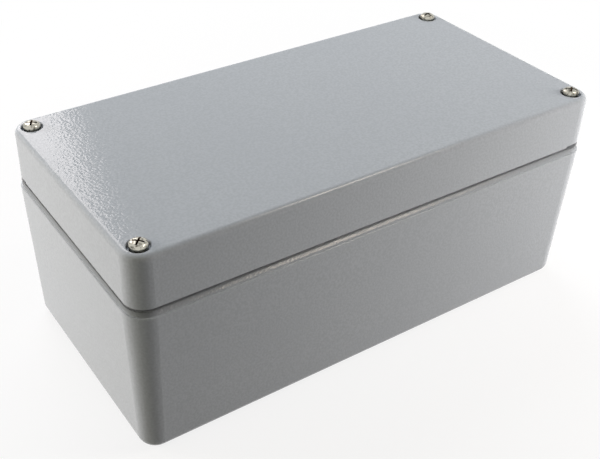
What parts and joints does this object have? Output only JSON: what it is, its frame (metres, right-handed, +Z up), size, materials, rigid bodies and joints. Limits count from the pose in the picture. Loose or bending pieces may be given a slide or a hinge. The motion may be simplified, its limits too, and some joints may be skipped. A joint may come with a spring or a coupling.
{
  "type": "die cast aluminium box",
  "caption": "Grey powder coated die cast aluminium box: drafted base, gasketed lift-off lid with captive corner screws, floor bosses and hidden wall mounting holes.",
  "frame": {"origin": "centre of the underside of the base", "axes": "+X along the length, towards the right-hand short side; -Y is the front long side; +Z up, the way the lid lifts"},
  "size_m": [0.2214, 0.11, 0.0954],
  "materials": {
    "powder_coat": "light grey textured powder coat, satin",
    "stainless_steel": "bright, lightly polished",
    "seal_rubber": "matt",
    "nylon": "satin black",
    "copper_plate": "copper plated, bright"
  },
  "bodies": {
    "base": {"base": "powder_coat", "mounting_screw_front_left": "copper_plate", "mounting_screw_front_right": "copper_plate", "mounting_screw_back_left": "copper_plate", "mounting_screw_back_right": "copper_plate", "spring_washer_front_left": "copper_plate", "spring_washer_front_right": "copper_plate", "spring_washer_back_left": "copper_plate", "spring_washer_back_right": "copper_plate"},
    "lid": {"lid": "powder_coat", "gasket": "seal_rubber", "retaining_ring_front_left": "nylon", "retaining_ring_front_right": "nylon", "retaining_ring_back_left": "nylon", "retaining_ring_back_right": "nylon"},
    "washer_front_left": {"screw_washer_front_left": "nylon"},
    "screw_front_left": {"lid_screw_front_left": "stainless_steel"},
    "washer_front_right": {"screw_washer_front_right": "nylon"},
    "screw_front_right": {"lid_screw_front_right": "stainless_steel"},
    "washer_back_left": {"screw_washer_back_left": "nylon"},
    "screw_back_left": {"lid_screw_back_left": "stainless_steel"},
    "washer_back_right": {"screw_washer_back_right": "nylon"},
    "screw_back_right": {"lid_screw_back_right": "stainless_steel"}
  },
  "joints": [
    {"name": "lid_lift", "type": "slide", "parent": "base", "child": "lid", "axis": [0, 0, 1], "range_m": [0, 0.12]},
    {"name": "screw_rise_front_left", "type": "slide", "parent": "lid", "child": "washer_front_left", "axis": [0, 0, 1], "range_m": [0, 0.0091]},
    {"name": "screw_turn_front_left", "type": "hinge", "parent": "washer_front_left", "child": "screw_front_left", "pos_m": [-0.1027, -0.0465, 0.09], "axis": [0, 0, 1], "range_deg": [0, 4680]},
    {"name": "screw_rise_front_right", "type": "slide", "parent": "lid", "child": "washer_front_right", "axis": [0, 0, 1], "range_m": [0, 0.0091]},
    {"name": "screw_turn_front_right", "type": "hinge", "parent": "washer_front_right", "child": "screw_front_right", "pos_m": [0.1027, -0.0465, 0.09], "axis": [0, 0, 1], "range_deg": [0, 4680]},
    {"name": "screw_rise_back_left", "type": "slide", "parent": "lid", "child": "washer_back_left", "axis": [0, 0, 1], "range_m": [0, 0.0091]},
    {"name": "screw_turn_back_left", "type": "hinge", "parent": "washer_back_left", "child": "screw_back_left", "pos_m": [-0.1027, 0.0465, 0.09], "axis": [0, 0, 1], "range_deg": [0, 4680]},
    {"name": "screw_rise_back_right", "type": "slide", "parent": "lid", "child": "washer_back_right", "axis": [0, 0, 1], "range_m": [0, 0.0091]},
    {"name": "screw_turn_back_right", "type": "hinge", "parent": "washer_back_right", "child": "screw_back_right", "pos_m": [0.1027, 0.0465, 0.09], "axis": [0, 0, 1], "range_deg": [0, 4680]}
  ],
  "couplings": [
    {"joint": "screw_turn_front_left", "follows": "screw_rise_front_left", "rad_per_m": 8976},
    {"joint": "screw_turn_front_right", "follows": "screw_rise_front_right", "rad_per_m": 8976},
    {"joint": "screw_turn_back_left", "follows": "screw_rise_back_left", "rad_per_m": 8976},
    {"joint": "screw_turn_back_right", "follows": "screw_rise_back_right", "rad_per_m": 8976}
  ]
}
